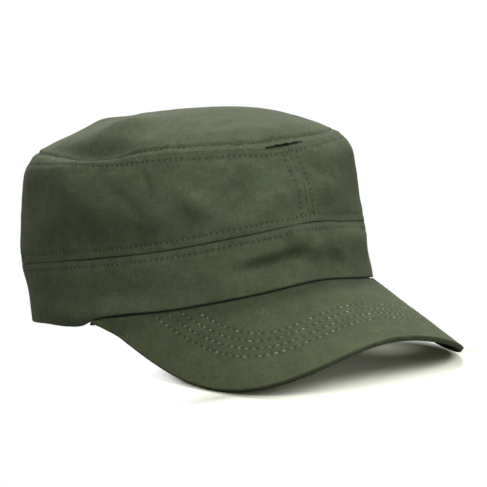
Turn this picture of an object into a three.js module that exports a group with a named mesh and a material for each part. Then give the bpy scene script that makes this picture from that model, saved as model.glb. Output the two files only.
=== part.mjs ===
// A field cap of plain cotton twill: a flat crown of two side panels and a domed top, a broad band round the
// head, and a stiff curved peak. It lies on a table, leaning back on the rear of its rim and on the two low
// corners of the peak.
//
// Lengths are in millimetres and angles in degrees. The front is -Y, the wearer's left is +X and up is +Z.
// An angle round the cap is 0 at the front, 90 at the wearer's left and 180 at the back.
// A level is a height on the cloth: 0 at the rim, 1 at the band's seam, 2 at the joint with the top panel and
// 3 at the middle of the top.

import * as THREE from 'three';
import { ParametricGeometry } from 'three/addons/geometries/ParametricGeometry.js';
import { mergeVertices } from 'three/addons/utils/BufferGeometryUtils.js';

// Driving sizes
const CROWN_CLOTH = 1.5;
const BAND_CLOTH = 2;
const SEAM_GAP = 0.3;
const HEM_GAP = 0.45;
const DOME = 19.3;
const DOME_POWER = 2.5;
const JOINT_FADE = 1.5;
const TILT = 10;
const LIFT = 16.24;

const PEAK = {
  thickness: 3,
  attach: 75.2,
  reach: 52.6,
  slope: 28,
  arch: 98,
  archTaper: 0.0007,
  archLimit: 0.98,
  rootHeight: 9.4,
  flare: 3,
  tuck: 2,
  tuckPower: 6,
  cornerPower: 3.1,
};

// The gap in the joint above the forehead, where the stitching has pulled open
const SLIT = { from: -10, to: 7, width: 1 };

// Reach of the cloth from the head's axis at each level
const OUTLINE = [
  { level: 0, front: 102.6, back: 102.4, half: 85.8 },
  { level: 0.5, front: 101.3, back: 102.9, half: 86.1 },
  { level: 1, front: 100.0, back: 103.0, half: 86.5 },
  { level: 1.34, front: 97.9, back: 101.6, half: 86.3 },
  { level: 1.72, front: 93.9, back: 97.7, half: 84.5 },
  { level: 1.9, front: 90.7, back: 92.9, half: 82.3 },
  { level: 2, front: 87.9, back: 87.4, half: 78.8 },
];

// Height of the rim, the band's seam and the joint with the top, by angle on either side of the front
const LINES = [
  { angle: 0, rim: 10.4, seam: 40.2, joint: 81.0 },
  { angle: 25, rim: 7.3, seam: 37.6, joint: 82.1 },
  { angle: 50, rim: 4.0, seam: 34.2, joint: 84.0 },
  { angle: 77, rim: 2.3, seam: 32.5, joint: 85.4 },
  { angle: 90, rim: -2.2, seam: 32.1, joint: 85.9 },
  { angle: 104, rim: -2.0, seam: 31.5, joint: 86.2 },
  { angle: 125, rim: 2.2, seam: 30.1, joint: 86.7 },
  { angle: 150, rim: 1.8, seam: 28.5, joint: 87.5 },
  { angle: 180, rim: 0, seam: 27.6, joint: 88.5 },
];

// Dents, positive depth, and swellings, negative depth, of the soft crown. reach is the half width in
// degrees, rise the half height in levels and lean the degrees by which a fold moves forward for each
// level down.
const FOLDS = [
  { place: 'hollow of the right side', angle: -76, level: 1.48, reach: 21, rise: 0.3, lean: 10, depth: 2.4 },
  { place: 'crease down from the joint', angle: -61, level: 1.6, reach: 5, rise: 0.22, lean: 36, depth: 1.1 },
  { place: 'dent over the temple', angle: -40, level: 1.36, reach: 8, rise: 0.16, lean: 22, depth: 1.1 },
  { place: 'full forehead', angle: -22, level: 1.5, reach: 14, rise: 0.34, lean: 0, depth: -1.1 },
  { place: 'dent beside the front seam', angle: 12, level: 1.74, reach: 8, rise: 0.14, lean: 14, depth: 1.3 },
  { place: 'dent over the left brow', angle: 13, level: 1.2, reach: 8, rise: 0.13, lean: -16, depth: 1.2 },
  { place: 'flat left temple', angle: 40, level: 1.3, reach: 14, rise: 0.22, lean: 0, depth: 1.3 },
  { place: 'full left shoulder', angle: 42, level: 1.8, reach: 16, rise: 0.16, lean: 0, depth: -1.6 },
  { place: 'hollow of the left side', angle: 84, level: 1.5, reach: 22, rise: 0.3, lean: -8, depth: 1.8 },
  { place: 'slack right rear', angle: -124, level: 1.08, reach: 16, rise: 0.3, lean: 0, depth: -1.3 },
  { place: 'slack left rear', angle: 128, level: 1.4, reach: 16, rise: 0.3, lean: 14, depth: 1.2 },
  { place: 'sag at the back', angle: -152, level: 1.38, reach: 14, rise: 0.3, lean: -10, depth: 1.3 },
  { place: 'dent in the band, right', angle: -15, level: 0.6, reach: 13, rise: 0.14, lean: -20, depth: 0.7 },
  { place: 'dent in the band, left', angle: 10, level: 0.5, reach: 10, rise: 0.14, lean: -20, depth: 0.6 },
  { place: 'sunk edge of the top', angle: -84, level: 2.09, reach: 17, rise: 0.07, lean: 0, depth: 1.5 },
  { place: 'crease across the top', angle: -150, level: 2.42, reach: 34, rise: 0.09, lean: 0, depth: 0.9 },
  { place: 'swell behind the crease', angle: -134, level: 2.52, reach: 14, rise: 0.1, lean: 0, depth: -0.8 },
];

// Half the gap at the panels' upright seams, in degrees
const SEAM_TURN = 0.1;

// Fineness of the cloth walls
const STATION = 4.5;
const BAND_ROWS = 5;
const SIDE_ROWS = 9;
const TOP_ROWS = 8;
const PEAK_STATIONS = 40;
const PEAK_ROWS = 8;

const TOP_CROWDING = 0.85;

// Rough sizes that turn a gap in millimetres into a share of a level
const WALL_HEIGHT = 50;
const TOP_RADIUS = 80;

// Short steps over which a slope is measured, in degrees, levels and millimetres
const TURN_STEP = 1;
const LEVEL_STEP = 0.03;
const SLOPE_STEP = 0.03;

// Corners nearer than this are one
const MERGE = 1e-3;

// A smooth curve through one column of a table
function column(table, key, name) {
  const curve = new THREE.CubicInterpolant(table.map((row) => row[key]), table.map((row) => row[name]), 1);
  curve.DefaultSettings_ = { endingStart: THREE.ZeroSlopeEnding, endingEnd: THREE.ZeroSlopeEnding };
  return (value) => curve.evaluate(value)[0];
}

const front = column(OUTLINE, 'level', 'front');
const back = column(OUTLINE, 'level', 'back');
const half = column(OUTLINE, 'level', 'half');
const rim = column(LINES, 'angle', 'rim');
const seam = column(LINES, 'angle', 'seam');
const joint = column(LINES, 'angle', 'joint');
const JOINT_MEAN = LINES.reduce((sum, row) => sum + row.joint, 0) / LINES.length;

const { clamp, lerp, degToRad } = THREE.MathUtils;

// An angle brought to the range from -180 to 180
function wrapped(angle) {
  return THREE.MathUtils.euclideanModulo(angle + 180, 360) - 180;
}

// The cap's smooth outer surface, before any dent
function smoothPoint(angle, level) {
  const wallLevel = clamp(level, 0, 2);
  const spread = clamp(3 - level, 0, 1);
  const turn = degToRad(angle);
  const side = Math.abs(wrapped(angle));
  const reach = side < 90 ? front(wallLevel) : back(wallLevel);
  const x = half(wallLevel) * Math.sin(turn) * spread;
  const y = -reach * Math.cos(turn) * spread;
  if (level <= 1) return new THREE.Vector3(x, y, lerp(rim(side), seam(side), level));
  if (level <= 2) return new THREE.Vector3(x, y, lerp(seam(side), joint(side), level - 1));
  const edge = lerp(JOINT_MEAN, joint(side), spread ** JOINT_FADE);
  return new THREE.Vector3(x, y, edge + DOME * (1 - spread ** DOME_POWER));
}

// The direction in which the cloth faces
function outward(angle, level) {
  if (level > 3 - LEVEL_STEP) return new THREE.Vector3(0, 0, 1);
  const low = Math.max(level - LEVEL_STEP, 0);
  const high = level + LEVEL_STEP;
  const round = smoothPoint(angle + TURN_STEP, level).sub(smoothPoint(angle - TURN_STEP, level));
  const rise = smoothPoint(angle, high).sub(smoothPoint(angle, low));
  return round.cross(rise).normalize();
}

// How far the cloth sinks below its smooth surface at a place
function sinking(angle, level) {
  let depth = 0;
  for (const fold of FOLDS) {
    const upper = level - fold.level;
    const middle = fold.angle + Math.sign(fold.angle) * fold.lean * upper;
    const away = wrapped(angle - middle) / fold.reach;
    depth += fold.depth * Math.exp(-(away ** 2) - (upper / fold.rise) ** 2);
  }
  return depth;
}

// A point of the cloth, depth millimetres in from its outer face
function clothPoint(angle, level, depth) {
  const normal = outward(angle, level);
  return smoothPoint(angle, level).addScaledVector(normal, -sinking(angle, level) - depth);
}

// Leans the cap back as it lies, and presses flat what would sink into the table
function laid(point, flattened) {
  point.applyAxisAngle(new THREE.Vector3(1, 0, 0), -degToRad(TILT));
  point.z += LIFT;
  if (flattened) point.z = Math.max(point.z, 0);
  return point;
}

// The loop round a wall's section: up the outer face, over the edge, down the inner face and back
function loopStop(stop, rows) {
  if (stop <= rows) return { along: stop / rows, inward: 0 };
  if (stop <= rows + 1) return { along: 1, inward: stop - rows };
  if (stop <= 2 * rows + 1) return { along: 1 - (stop - rows - 1) / rows, inward: 1 };
  return { along: 0, inward: 2 * rows + 2 - stop };
}

// Joins the shared corners of a surface and drops the faces that have shrunk to a line
function closed(surface) {
  surface.deleteAttribute('normal');
  surface.deleteAttribute('uv');
  const merged = mergeVertices(surface, MERGE);
  const corners = merged.index.array;
  const kept = [];
  for (let i = 0; i < corners.length; i += 3) {
    const [a, b, c] = corners.slice(i, i + 3);
    if (a !== b && b !== c && c !== a) kept.push(a, b, c);
  }
  merged.setIndex(kept);
  merged.computeVertexNormals();
  return merged;
}

// A strip of wall between two levels. A strip that doesn't go all the way round is closed at both ends.
function wallStrip({ low, high, thickness, rows, from, to }) {
  const whole = to - from === 360;
  const endGap = whole ? 0 : SEAM_TURN;
  const steps = (to - from) / STATION;
  const slices = whole ? steps : steps + 2;
  const stacks = 2 * rows + 2;
  return closed(new ParametricGeometry((u, v, target) => {
    const station = clamp(u * slices - (whole ? 0 : 1), 0, steps);
    const closing = whole ? 1 : clamp(Math.min(u, 1 - u) * slices, 0, 1);
    const angle = clamp(from + station * STATION, from + endGap, to - endGap);
    const { along, inward } = loopStop(v * stacks, rows);
    const depth = lerp(thickness / 2, inward * thickness, closing);
    target.copy(laid(clothPoint(angle, lerp(low, high, along), depth), true));
  }, slices, stacks));
}

// How far the top panel's edge stands back where the joint gapes
function slitWidth(angle) {
  const share = (wrapped(angle) - SLIT.from) / (SLIT.to - SLIT.from);
  return share > 0 && share < 1 ? SLIT.width * Math.sqrt(Math.sin(Math.PI * share)) : 0;
}

function topPanel() {
  const stacks = 2 * TOP_ROWS + 1;
  return closed(new ParametricGeometry((u, v, target) => {
    const angle = u * 360;
    const stop = v * stacks;
    const upper = stop > TOP_ROWS;
    const spread = upper ? clamp(stacks - stop, 0, TOP_ROWS) / TOP_ROWS : stop / TOP_ROWS;
    const edge = 2 + (SEAM_GAP / 2 + slitWidth(angle)) / TOP_RADIUS;
    const level = lerp(3, edge, spread ** TOP_CROWDING);
    const depth = upper ? 0 : CROWN_CLOTH;
    target.copy(laid(clothPoint(angle, level, depth), false));
  }, 360 / STATION, stacks));
}

// Height of the peak's upper face, which slopes down forwards and arches from side to side
function peakHeight(x, y) {
  const ahead = -y - OUTLINE[0].front;
  const radius = PEAK.arch * (1 - PEAK.archTaper * ahead);
  const drop = radius - Math.sqrt(radius ** 2 - Math.min(Math.abs(x), radius * PEAK.archLimit) ** 2);
  return PEAK.rootHeight - Math.tan(degToRad(PEAK.slope)) * ahead - drop;
}

// The peak's outer edge, from -1 at the wearer's right end to 1 at the left one. Its corners are rounder than
// an ellipse's, and the ratio spreads the places evenly along it.
function peakEdge(share) {
  const near = Math.abs(share) ** (PEAK.cornerPower / 2);
  const far = (1 - Math.abs(share)) ** (PEAK.cornerPower / 2);
  const turn = degToRad(90 * near / (near + far));
  const attach = degToRad(PEAK.attach);
  const halfWidth = OUTLINE[0].half * Math.sin(attach) + PEAK.flare;
  const start = -OUTLINE[0].front * Math.cos(attach);
  const depth = OUTLINE[0].front + PEAK.reach + start;
  const x = halfWidth * Math.sign(share) * Math.sin(turn) ** (2 / PEAK.cornerPower);
  const y = start - depth * Math.max(Math.cos(turn), 0) ** (2 / PEAK.cornerPower);
  const excess = peakHeight(halfWidth, start) - rim(PEAK.attach) + PEAK.tuck;
  return new THREE.Vector3(x, y, peakHeight(x, y) - excess * Math.abs(share) ** PEAK.tuckPower);
}

// The peak's upper face: along is 0 under the band's inner face, rootShare under its outer face and 1 at the
// edge
function peakTop(share, along) {
  const rootShare = 1 / PEAK_ROWS;
  const angle = share * PEAK.attach;
  const under = clothPoint(angle, 0, BAND_CLOTH);
  const root = clothPoint(angle, 0, 0);
  const lowered = new THREE.Vector3(0, 0, -HEM_GAP);
  if (along <= rootShare) return under.lerp(root, along / rootShare).add(lowered);
  const out = (along - rootShare) / (1 - rootShare);
  const edge = peakEdge(share);
  const point = root.clone().lerp(edge, out);
  const rise = root.z - peakHeight(root.x, root.y);
  const sink = edge.z - peakHeight(edge.x, edge.y);
  point.z = peakHeight(point.x, point.y) + rise * (1 - out) ** 2 + sink * out;
  return point.add(lowered);
}

// The way out of the board's upper face
function peakNormal(x, y) {
  const span = 2 * SLOPE_STEP;
  const acrossSlope = (peakHeight(x + SLOPE_STEP, y) - peakHeight(x - SLOPE_STEP, y)) / span;
  const aheadSlope = (peakHeight(x, y + SLOPE_STEP) - peakHeight(x, y - SLOPE_STEP)) / span;
  return new THREE.Vector3(-acrossSlope, -aheadSlope, 1).normalize();
}

function peakBoard() {
  const slices = PEAK_STATIONS + 2;
  const stacks = 2 * PEAK_ROWS + 2;
  return closed(new ParametricGeometry((u, v, target) => {
    const station = clamp((u * slices - 1) / PEAK_STATIONS, 0, 1);
    const share = 1 - 2 * station;
    const closing = clamp(Math.min(u, 1 - u) * slices, 0, 1);
    const { along, inward } = loopStop(v * stacks, PEAK_ROWS);
    const depth = lerp(PEAK.thickness / 2, inward * PEAK.thickness, closing);
    const point = peakTop(share, along);
    target.copy(laid(point.addScaledVector(peakNormal(point.x, point.y), -depth), false));
  }, slices, stacks));
}

function twill(color) {
  return new THREE.MeshStandardMaterial({ color, roughness: 0.9, metalness: 0 });
}

function piece(name, geometry, material) {
  const mesh = new THREE.Mesh(geometry, material);
  mesh.name = name;
  return mesh;
}

const seamLevel = SEAM_GAP / 2 / WALL_HEIGHT;
const crown = { low: 1 + seamLevel, high: 2 - seamLevel, thickness: CROWN_CLOTH, rows: SIDE_ROWS };
const headBand = { low: 0, high: 1 - seamLevel, thickness: BAND_CLOTH, rows: BAND_ROWS };

const cap = new THREE.Group();
cap.add(piece('band', wallStrip({ ...headBand, from: -180, to: 180 }), twill(0x4a5440)));
cap.add(piece('crown_side_right', wallStrip({ ...crown, from: -180, to: 0 }), twill(0x4d5742)));
cap.add(piece('crown_side_left', wallStrip({ ...crown, from: 0, to: 180 }), twill(0x4d5742)));
cap.add(piece('crown_top', topPanel(), twill(0x525c47)));
cap.add(piece('peak', peakBoard(), twill(0x4c5641)));

// The whole cap stands centred over the origin, on the plane z = 0
const extent = new THREE.Box3().setFromObject(cap);
const middle = extent.getCenter(new THREE.Vector3());
cap.position.set(-middle.x, -middle.y, -extent.min.z);

const part = new THREE.Group();
part.add(cap);

export default part;
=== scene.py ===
# A field cap of olive cotton twill, lying as it was put down. It leans back on the rear of its rim and on
# the two low corners of its peak. Each panel starts as a flat cut of cloth, is laid round the head, gets
# its thickness and its rounded edges, and is then sewn with real stitches.
#
# Lengths are in metres and angles in degrees. The front is -Y, the wearer's left is +X and up is +Z. An
# angle round the cap is 0 at the front, 90 at the wearer's left and 180 at the back. A level is a height
# on the cloth: 0 at the rim, 1 at the band's seam, 2 at the joint with the top panel and 3 in the middle
# of the top.
import math

import bpy
import numpy as np
from mathutils import Matrix, Vector, kdtree


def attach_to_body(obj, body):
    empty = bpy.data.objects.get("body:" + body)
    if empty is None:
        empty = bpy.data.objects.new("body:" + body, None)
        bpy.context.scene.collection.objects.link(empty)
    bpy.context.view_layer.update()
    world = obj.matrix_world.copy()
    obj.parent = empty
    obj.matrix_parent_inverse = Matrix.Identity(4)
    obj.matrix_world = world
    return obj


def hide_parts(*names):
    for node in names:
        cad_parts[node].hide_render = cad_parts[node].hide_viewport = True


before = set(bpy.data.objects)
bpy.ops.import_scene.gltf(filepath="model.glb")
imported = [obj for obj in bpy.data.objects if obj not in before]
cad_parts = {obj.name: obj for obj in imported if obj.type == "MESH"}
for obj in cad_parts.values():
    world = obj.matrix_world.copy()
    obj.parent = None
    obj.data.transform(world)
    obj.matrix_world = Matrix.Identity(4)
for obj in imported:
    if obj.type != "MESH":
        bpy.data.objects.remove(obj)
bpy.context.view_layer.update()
bpy.ops.object.select_all(action="DESELECT")


def table(columns, *rows):
    """Rows of values under named columns"""
    return [dict(zip(columns.split(), row)) for row in rows]


# Driving sizes of the cap: its cloth, the dome of its top, how it leans and how high that lifts it, and
# where the head's axis stands in the frame
CROWN_CLOTH = 0.0015
BAND_CLOTH = 0.002
HEM_GAP = 0.0003
DOME = 0.0193
DOME_POWER = 2.5
JOINT_FADE = 1.5
TILT = 10
LIFT = 0.01624
HEAD_AXIS = (0.00002, 0.02355, 0)

# The peak. Its outer edge starts at the angle attach on both sides and its middle stands out by reach.
# arch is the radius of its curve from side to side, and root_share the part of its length that lies under
# the band. The ends are sewn a little further back, grow thinner, follow the rim's dents and are tucked up
# under it.
PEAK = {
    "thickness": 0.003,
    "attach": 75.2,
    "reach": 0.0526,
    "slope": 28,
    "arch": 0.098,
    "arch_taper": 0.7,
    "arch_limit": 0.98,
    "root_height": 0.0094,
    "root_share": 1 / 8,
    "flare": 0.003,
    "corner_power": 3.1,
    "end_reach": 3.2,
    "end_power": 5,
    "end_thinning": 0.0012,
    "thin_from": (0.90, 0.985),
    "hidden_from": (0.90, 0.97),
    "follow_power": 24,
    "tuck": 0.0004,
    "tuck_power": 6,
}

# Half the gap that each kind of edge leaves to the edge it is sewn to
GAPS = {"foot": 0.0001, "head": 0.00004, "end": 0.00004}

# The gap in the joint above the forehead, where the stitching has pulled open. ragged holds the waves
# along its lip and their heights, and from a width of dark on its cut edges are painted black, as painted
# shade.
SLIT = {"from": -9.5, "to": 8.5, "width": 0.0011, "ragged": ((26, 0.25), (47, 0.15)), "dark": 0.0002}

# Behind the ears the shade painted in the band's seam is lighter, which comes on between two angles
LIGHTER_SEAM_SHADE = {"from": 78, "to": 100, "less": 0.6}

# On the wearer's left the edge of the top lies flatter. from and to are the stretches where that comes on
# and goes off.
FLAT_EDGE = {"from": (12, 38), "to": (120, 160), "less": 0.75}

# Reach of the cloth from the head's axis at each level
OUTLINE = table(
    "level   front    back    half",
    (0.00, 0.1026, 0.1024, 0.0858),
    (0.50, 0.1013, 0.1029, 0.0861),
    (1.00, 0.1000, 0.1030, 0.0865),
    (1.34, 0.0979, 0.1016, 0.0863),
    (1.72, 0.0939, 0.0977, 0.0845),
    (1.90, 0.0907, 0.0929, 0.0823),
    (2.00, 0.0879, 0.0874, 0.0788),
)

# Height of the rim, the band's seam and the joint with the top, by angle on either side of the front
LINES = table(
    "angle     rim    seam    joint",
    (0, 0.0104, 0.0402, 0.0815),
    (25, 0.0073, 0.0376, 0.0821),
    (50, 0.0040, 0.0342, 0.0840),
    (76, 0.0018, 0.0325, 0.0854),
    (82, -0.0012, 0.0323, 0.0856),
    (90, -0.0017, 0.0321, 0.0859),
    (104, -0.0008, 0.0315, 0.0862),
    (125, -0.0010, 0.0301, 0.0867),
    (150, 0.0006, 0.0285, 0.0875),
    (180, 0.0000, 0.0276, 0.0885),
)

# Dents, with a positive depth, and swellings, with a negative one, of the soft cloth. reach is the half
# width in degrees, rise the half height in levels and lean the degrees by which a fold moves forward for
# each level down.
FOLDS = table(
    "place  angle  level  reach  rise  lean  depth",
    # The right side panel, from the back to the front seam
    ("sag at the back", -152, 1.38, 14, 0.30, -10, 0.0013),
    ("low swell of the right rear", -123, 1.06, 16, 0.28, -5, -0.0015),
    ("small swell of the rear shoulder", -108, 1.92, 9, 0.14, 0, -0.0005),
    ("dip behind the right ear", -104, 1.59, 13, 0.20, 0, 0.0019),
    ("swell of the right rear", -95, 1.35, 12, 0.35, 0, -0.0008),
    ("slanting swell over the right ear", -91, 1.39, 8, 0.19, -32, -0.0008),
    ("ridge below the sunk edge", -84, 1.69, 8, 0.25, 30, -0.0020),
    ("hollow above the band, right", -79, 1.11, 24, 0.27, 12, 0.0058),
    ("dip under the joint, right", -66, 1.90, 18, 0.12, 0, 0.0030),
    ("crease down from the joint", -63, 1.57, 3.5, 0.23, 33, 0.0013),
    ("dip above the band, temple", -55, 1.12, 10, 0.15, 0, 0.0010),
    ("thin crease under the joint", -54, 1.70, 1.6, 0.20, 6, 0.0006),
    ("swell behind the temple", -52, 1.36, 8, 0.21, 0, -0.0031),
    ("thin ridge beside the thin crease", -51, 1.66, 2.2, 0.22, 8, -0.0005),
    ("small swell behind the temple", -49, 1.33, 5, 0.14, 0, -0.0006),
    ("dip over the temple", -43, 1.82, 9, 0.21, -29, 0.0014),
    ("slanting ridge of the temple", -38, 1.41, 6, 0.19, 23, -0.0040),
    ("thin ridge of the forehead", -33, 1.62, 2.6, 0.20, -24, -0.0006),
    ("slanting crease over the brow", -24, 1.51, 6, 0.24, -31, 0.0037),
    ("slanting swell over the brow", -24, 1.16, 9, 0.20, -34, -0.0030),
    ("dip under the joint, brow", -22, 1.90, 15, 0.07, 0, 0.0013),
    ("soft hollow of the forehead", -20, 1.51, 14, 0.34, -6, 0.0009),
    ("small dip of the forehead", -19, 1.62, 6, 0.14, 0, 0.0004),
    ("hollow at the top of the front seam", -6, 1.81, 12, 0.26, 0, 0.0031),
    ("swell beside the front seam", -6, 1.39, 14, 0.11, 0, -0.0010),
    ("dip above the band, front", -5, 1.15, 10, 0.12, 0, 0.0011),
    # The left side panel, from the front seam to the back
    ("small dent beside the slit", 8, 1.74, 3.5, 0.10, 0, 0.0003),
    ("small dip above the band, left", 10, 1.20, 5, 0.10, 0, 0.0015),
    ("dent beside the front seam", 11, 1.67, 4, 0.14, -15, 0.0027),
    ("small crease of the left brow", 12, 1.62, 3, 0.12, -20, 0.0012),
    ("small ridge beside the front seam", 14, 1.35, 4, 0.14, 0, -0.0007),
    ("small swell over the left brow", 14, 1.45, 4, 0.20, -20, -0.0009),
    ("small ridge of the left brow", 18, 1.55, 4, 0.18, -20, -0.0009),
    ("hollow over the left brow", 20, 1.05, 14, 0.18, -18, 0.0039),
    ("small swell above the band, left", 20, 1.18, 5, 0.08, 0, -0.0006),
    ("slight dip over the left brow", 25, 1.50, 8, 0.30, 0, 0.0004),
    ("full left shoulder", 32, 1.80, 16, 0.17, 0, -0.0030),
    ("flat left temple", 35, 1.28, 15, 0.22, 2, 0.0026),
    ("full left side", 52, 1.50, 16, 0.30, 0, -0.0014),
    ("hollow of the left side", 82, 1.52, 23, 0.30, -10, 0.0021),
    ("dip of the left rear", 128, 1.40, 16, 0.30, 14, 0.0012),
    # The band, from the wearer's right to the left
    ("dent in the band, right side", -82, 0.77, 15, 0.21, 0, 0.0006),
    ("flare of the rim, right", -77, 0.09, 18, 0.22, 39, -0.0048),
    ("dip above the hem, temple", -65, 0.30, 10, 0.25, 0, 0.0013),
    ("dip above the hem, brow", -45, 0.25, 12, 0.20, 0, 0.0010),
    ("slight dip of the band, brow", -35, 0.75, 10, 0.15, 0, 0.0001),
    ("swell of the band, right brow", -32, 0.33, 8, 0.30, -4, -0.0029),
    ("ridge beside the right hollow", -20, 0.62, 8, 0.15, 0, -0.0031),
    ("hollow of the band, right", -17, 0.44, 14, 0.18, -19, 0.0052),
    ("dent by the hem", -12, 0.18, 4, 0.13, 0, 0.0011),
    ("slight swell under the band's seam", -8, 0.90, 17, 0.10, 2, -0.0005),
    ("ridge from the seam to the hollow", -7, 0.81, 4, 0.25, 0, -0.0044),
    ("ridge down the middle of the band", 0, 0.60, 8, 0.20, 0, -0.0027),
    ("thin ridge down the middle", 0.5, 0.51, 3.5, 0.15, 0, -0.0021),
    ("hollow of the band, left", 12, 0.29, 14, 0.24, 0, 0.0056),
    ("small swell under the seam, left", 13, 0.64, 6, 0.14, 0, -0.0007),
    ("slanting ridge in the left hollow", 18, 0.36, 4, 0.20, -31, -0.0018),
    ("swell of the band, left", 25, 0.60, 10, 0.25, 0, -0.0023),
    ("flare of the rim, left", 52, 0.10, 18, 0.25, 0, -0.0009),
    # The top, from the back round the right to the left
    ("ridge across the top", -150, 2.43, 34, 0.09, 0, -0.0013),
    ("swell behind the ridge", -134, 2.52, 14, 0.10, 0, -0.0018),
    ("slight swell of the top, rear", -105, 2.15, 16, 0.12, 0, -0.0003),
    ("sunk edge, behind the ear", -100, 2.08, 7, 0.06, 0, 0.0006),
    ("dip of the top, over the ear", -95, 2.22, 8, 0.07, 0, 0.0005),
    ("sunk edge, over the ear", -88, 2.10, 6, 0.05, 0, 0.0004),
    ("sunk edge of the top", -79, 2.07, 20, 0.08, 0, 0.0065),
    ("swell above the sunk edge", -72, 2.35, 14, 0.14, -40, -0.0043),
    ("sunk edge, front end", -70, 2.10, 7, 0.05, 0, 0.0005),
    ("small swell of the top, temple", -55, 2.12, 8, 0.05, 0, -0.0008),
    ("slight swell of the top, brow", -45, 2.15, 20, 0.10, 0, -0.0002),
    ("swell of the top, front", -15, 2.15, 20, 0.10, 0, -0.0014),
    ("swell of the top, front left", 15, 2.15, 16, 0.10, 0, -0.0013),
)

# Sewing. share is the part of the pitch that is thread, pit the depth of the needle holes and dark the
# darkness of the shade painted into them, and rise how far the thread's middle stands above the cloth, in
# diameters. Distances of the peak's rows are from its edge.
STITCHES = table(
    "pitch  share  diameter  pit  dark  uneven  rise",
    (0.003, 0.55, 0.00052, 0.00016, 0.55, 0.18, 0.20),
    (0.004, 0.48, 0.00078, 0.00030, 0.75, 0.24, -0.05),
)
SEAM_STITCH, PEAK_STITCH = STITCHES
STITCH_INSET = 0.004
PEAK_ROWS = (0.0195, 0.0245, 0.0295, 0.0345)
# How far the cloth sinks round a needle hole, and how far the shade painted into it reaches
PIT = {"reach": 0.0006, "shade_reach": 0.0007}

# Fineness of the cloth: first row past a rounded edge, step beside the seams and step of the open cloth
FIRST_ROW = 0.0008
FINE_STEP = 0.0004
OPEN_STEP = 0.0008
FINE_ROWS = 18

# Steps for measuring the cloth, and the lengths that turn a gap into a share of a wall or of the top
JOINT_MEAN = sum(row["joint"] for row in LINES) / len(LINES)
TURN_STEP = 1
LEVEL_STEP = 0.03
OUT_STEP = 0.001
MEASURE_STEPS = 91
WALL_HEIGHT = 0.05
TOP_RADIUS = 0.08


def column(rows, key, name):
    """A smooth curve through one column of a table, with the mean slope of both sides at each row"""
    places = np.array([row[key] for row in rows], float)
    values = np.array([row[name] for row in rows], float)
    secants = np.diff(values) / np.diff(places)
    slopes = np.concatenate([[0], (secants[1:] + secants[:-1]) / 2, secants[-1:] / 2])

    def curve(at):
        i = np.clip(np.searchsorted(places, at, side="right") - 1, 0, len(secants) - 1)
        span = places[i + 1] - places[i]
        t = np.clip((at - places[i]) / span, 0, 1)
        ends = values[i] * (1 + 2 * t) * (1 - t) ** 2 + values[i + 1] * t**2 * (3 - 2 * t)
        return ends + span * (slopes[i] * t * (1 - t) ** 2 - slopes[i + 1] * t**2 * (1 - t))

    return curve


front = column(OUTLINE, "level", "front")
back = column(OUTLINE, "level", "back")
half = column(OUTLINE, "level", "half")
rim = column(LINES, "angle", "rim")
seam = column(LINES, "angle", "seam")
joint = column(LINES, "angle", "joint")


def wrapped(angle):
    """An angle brought to the range from -180 to 180"""
    return np.mod(np.asarray(angle, float) + 180, 360) - 180


def lerp(a, b, t):
    """The value at share t between a and b"""
    return a + (b - a) * t


def smooth_step(start, end, value):
    """A soft change from 0 at the start to 1 at the end"""
    t = np.clip((value - start) / (end - start), 0, 1)
    return t * t * (3 - 2 * t)


def bell(away, reach):
    """A soft bump of height 1 in the middle, which has died away by about twice its reach"""
    return np.exp(-((away / reach) ** 2))


def unit(vectors):
    """Vectors brought to length 1"""
    return vectors / np.maximum(np.linalg.norm(vectors, axis=-1, keepdims=True), 1e-12)


def smooth_point(angle, level):
    """The cap's smooth outer surface, before any dent"""
    angle, level = np.broadcast_arrays(np.asarray(angle, float), np.asarray(level, float))
    wall_level = np.clip(level, 0, 2)
    spread = np.clip(3 - level, 0, 1)
    turn = np.radians(angle)
    side = np.abs(wrapped(angle))
    reach = np.where(side < 90, front(wall_level), back(wall_level))
    x = half(wall_level) * np.sin(turn) * spread
    y = -reach * np.cos(turn) * spread
    band_height = lerp(rim(side), seam(side), level)
    side_height = lerp(seam(side), joint(side), level - 1)
    edge = lerp(JOINT_MEAN, joint(side), spread**JOINT_FADE)
    top_height = edge + DOME * (1 - spread**DOME_POWER)
    z = np.where(level <= 1, band_height, np.where(level <= 2, side_height, top_height))
    return np.stack([x, y, z], -1)


def outward(angle, level):
    """The direction in which the cloth faces"""
    level = np.asarray(level, float)
    round_step = smooth_point(angle + TURN_STEP, level) - smooth_point(angle - TURN_STEP, level)
    low = np.maximum(level - LEVEL_STEP, 0)
    rise_step = smooth_point(angle, level + LEVEL_STEP) - smooth_point(angle, low)
    facing = unit(np.cross(round_step, rise_step))
    return np.where((level > 3 - LEVEL_STEP)[..., None], np.array([0.0, 0.0, 1.0]), facing)


def sinking(angle, level):
    """How far the cloth sinks below its smooth surface"""
    depth = 0
    for fold in FOLDS:
        upper = level - fold["level"]
        middle = fold["angle"] + np.sign(fold["angle"]) * fold["lean"] * upper
        away = wrapped(angle - middle) / fold["reach"]
        depth = depth + fold["depth"] * np.exp(-(away**2) - (upper / fold["rise"]) ** 2)
    return depth


def cloth_point(angle, level, depth=0.0):
    """A point of the cloth, depth metres in from its outer face"""
    sunk = np.asarray(sinking(angle, level) + depth)
    return smooth_point(angle, level) - outward(angle, level) * sunk[..., None]


def laid(points, flattened=False):
    """Leans the cap back as it lies, and presses flat what would sink into the table"""
    cos, sin = math.cos(math.radians(TILT)), math.sin(math.radians(TILT))
    x, y, z = np.moveaxis(points, -1, 0)
    height = z * cos - y * sin + LIFT
    if flattened:
        height = np.maximum(height, 0)
    return np.stack([x, y * cos + z * sin, height], -1) + HEAD_AXIS


# Waves that add up to an uneven field, and their lengths as shares of its size
WAVES = {"count": 28, "lengths": (1.3, 2.9)}


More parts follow.
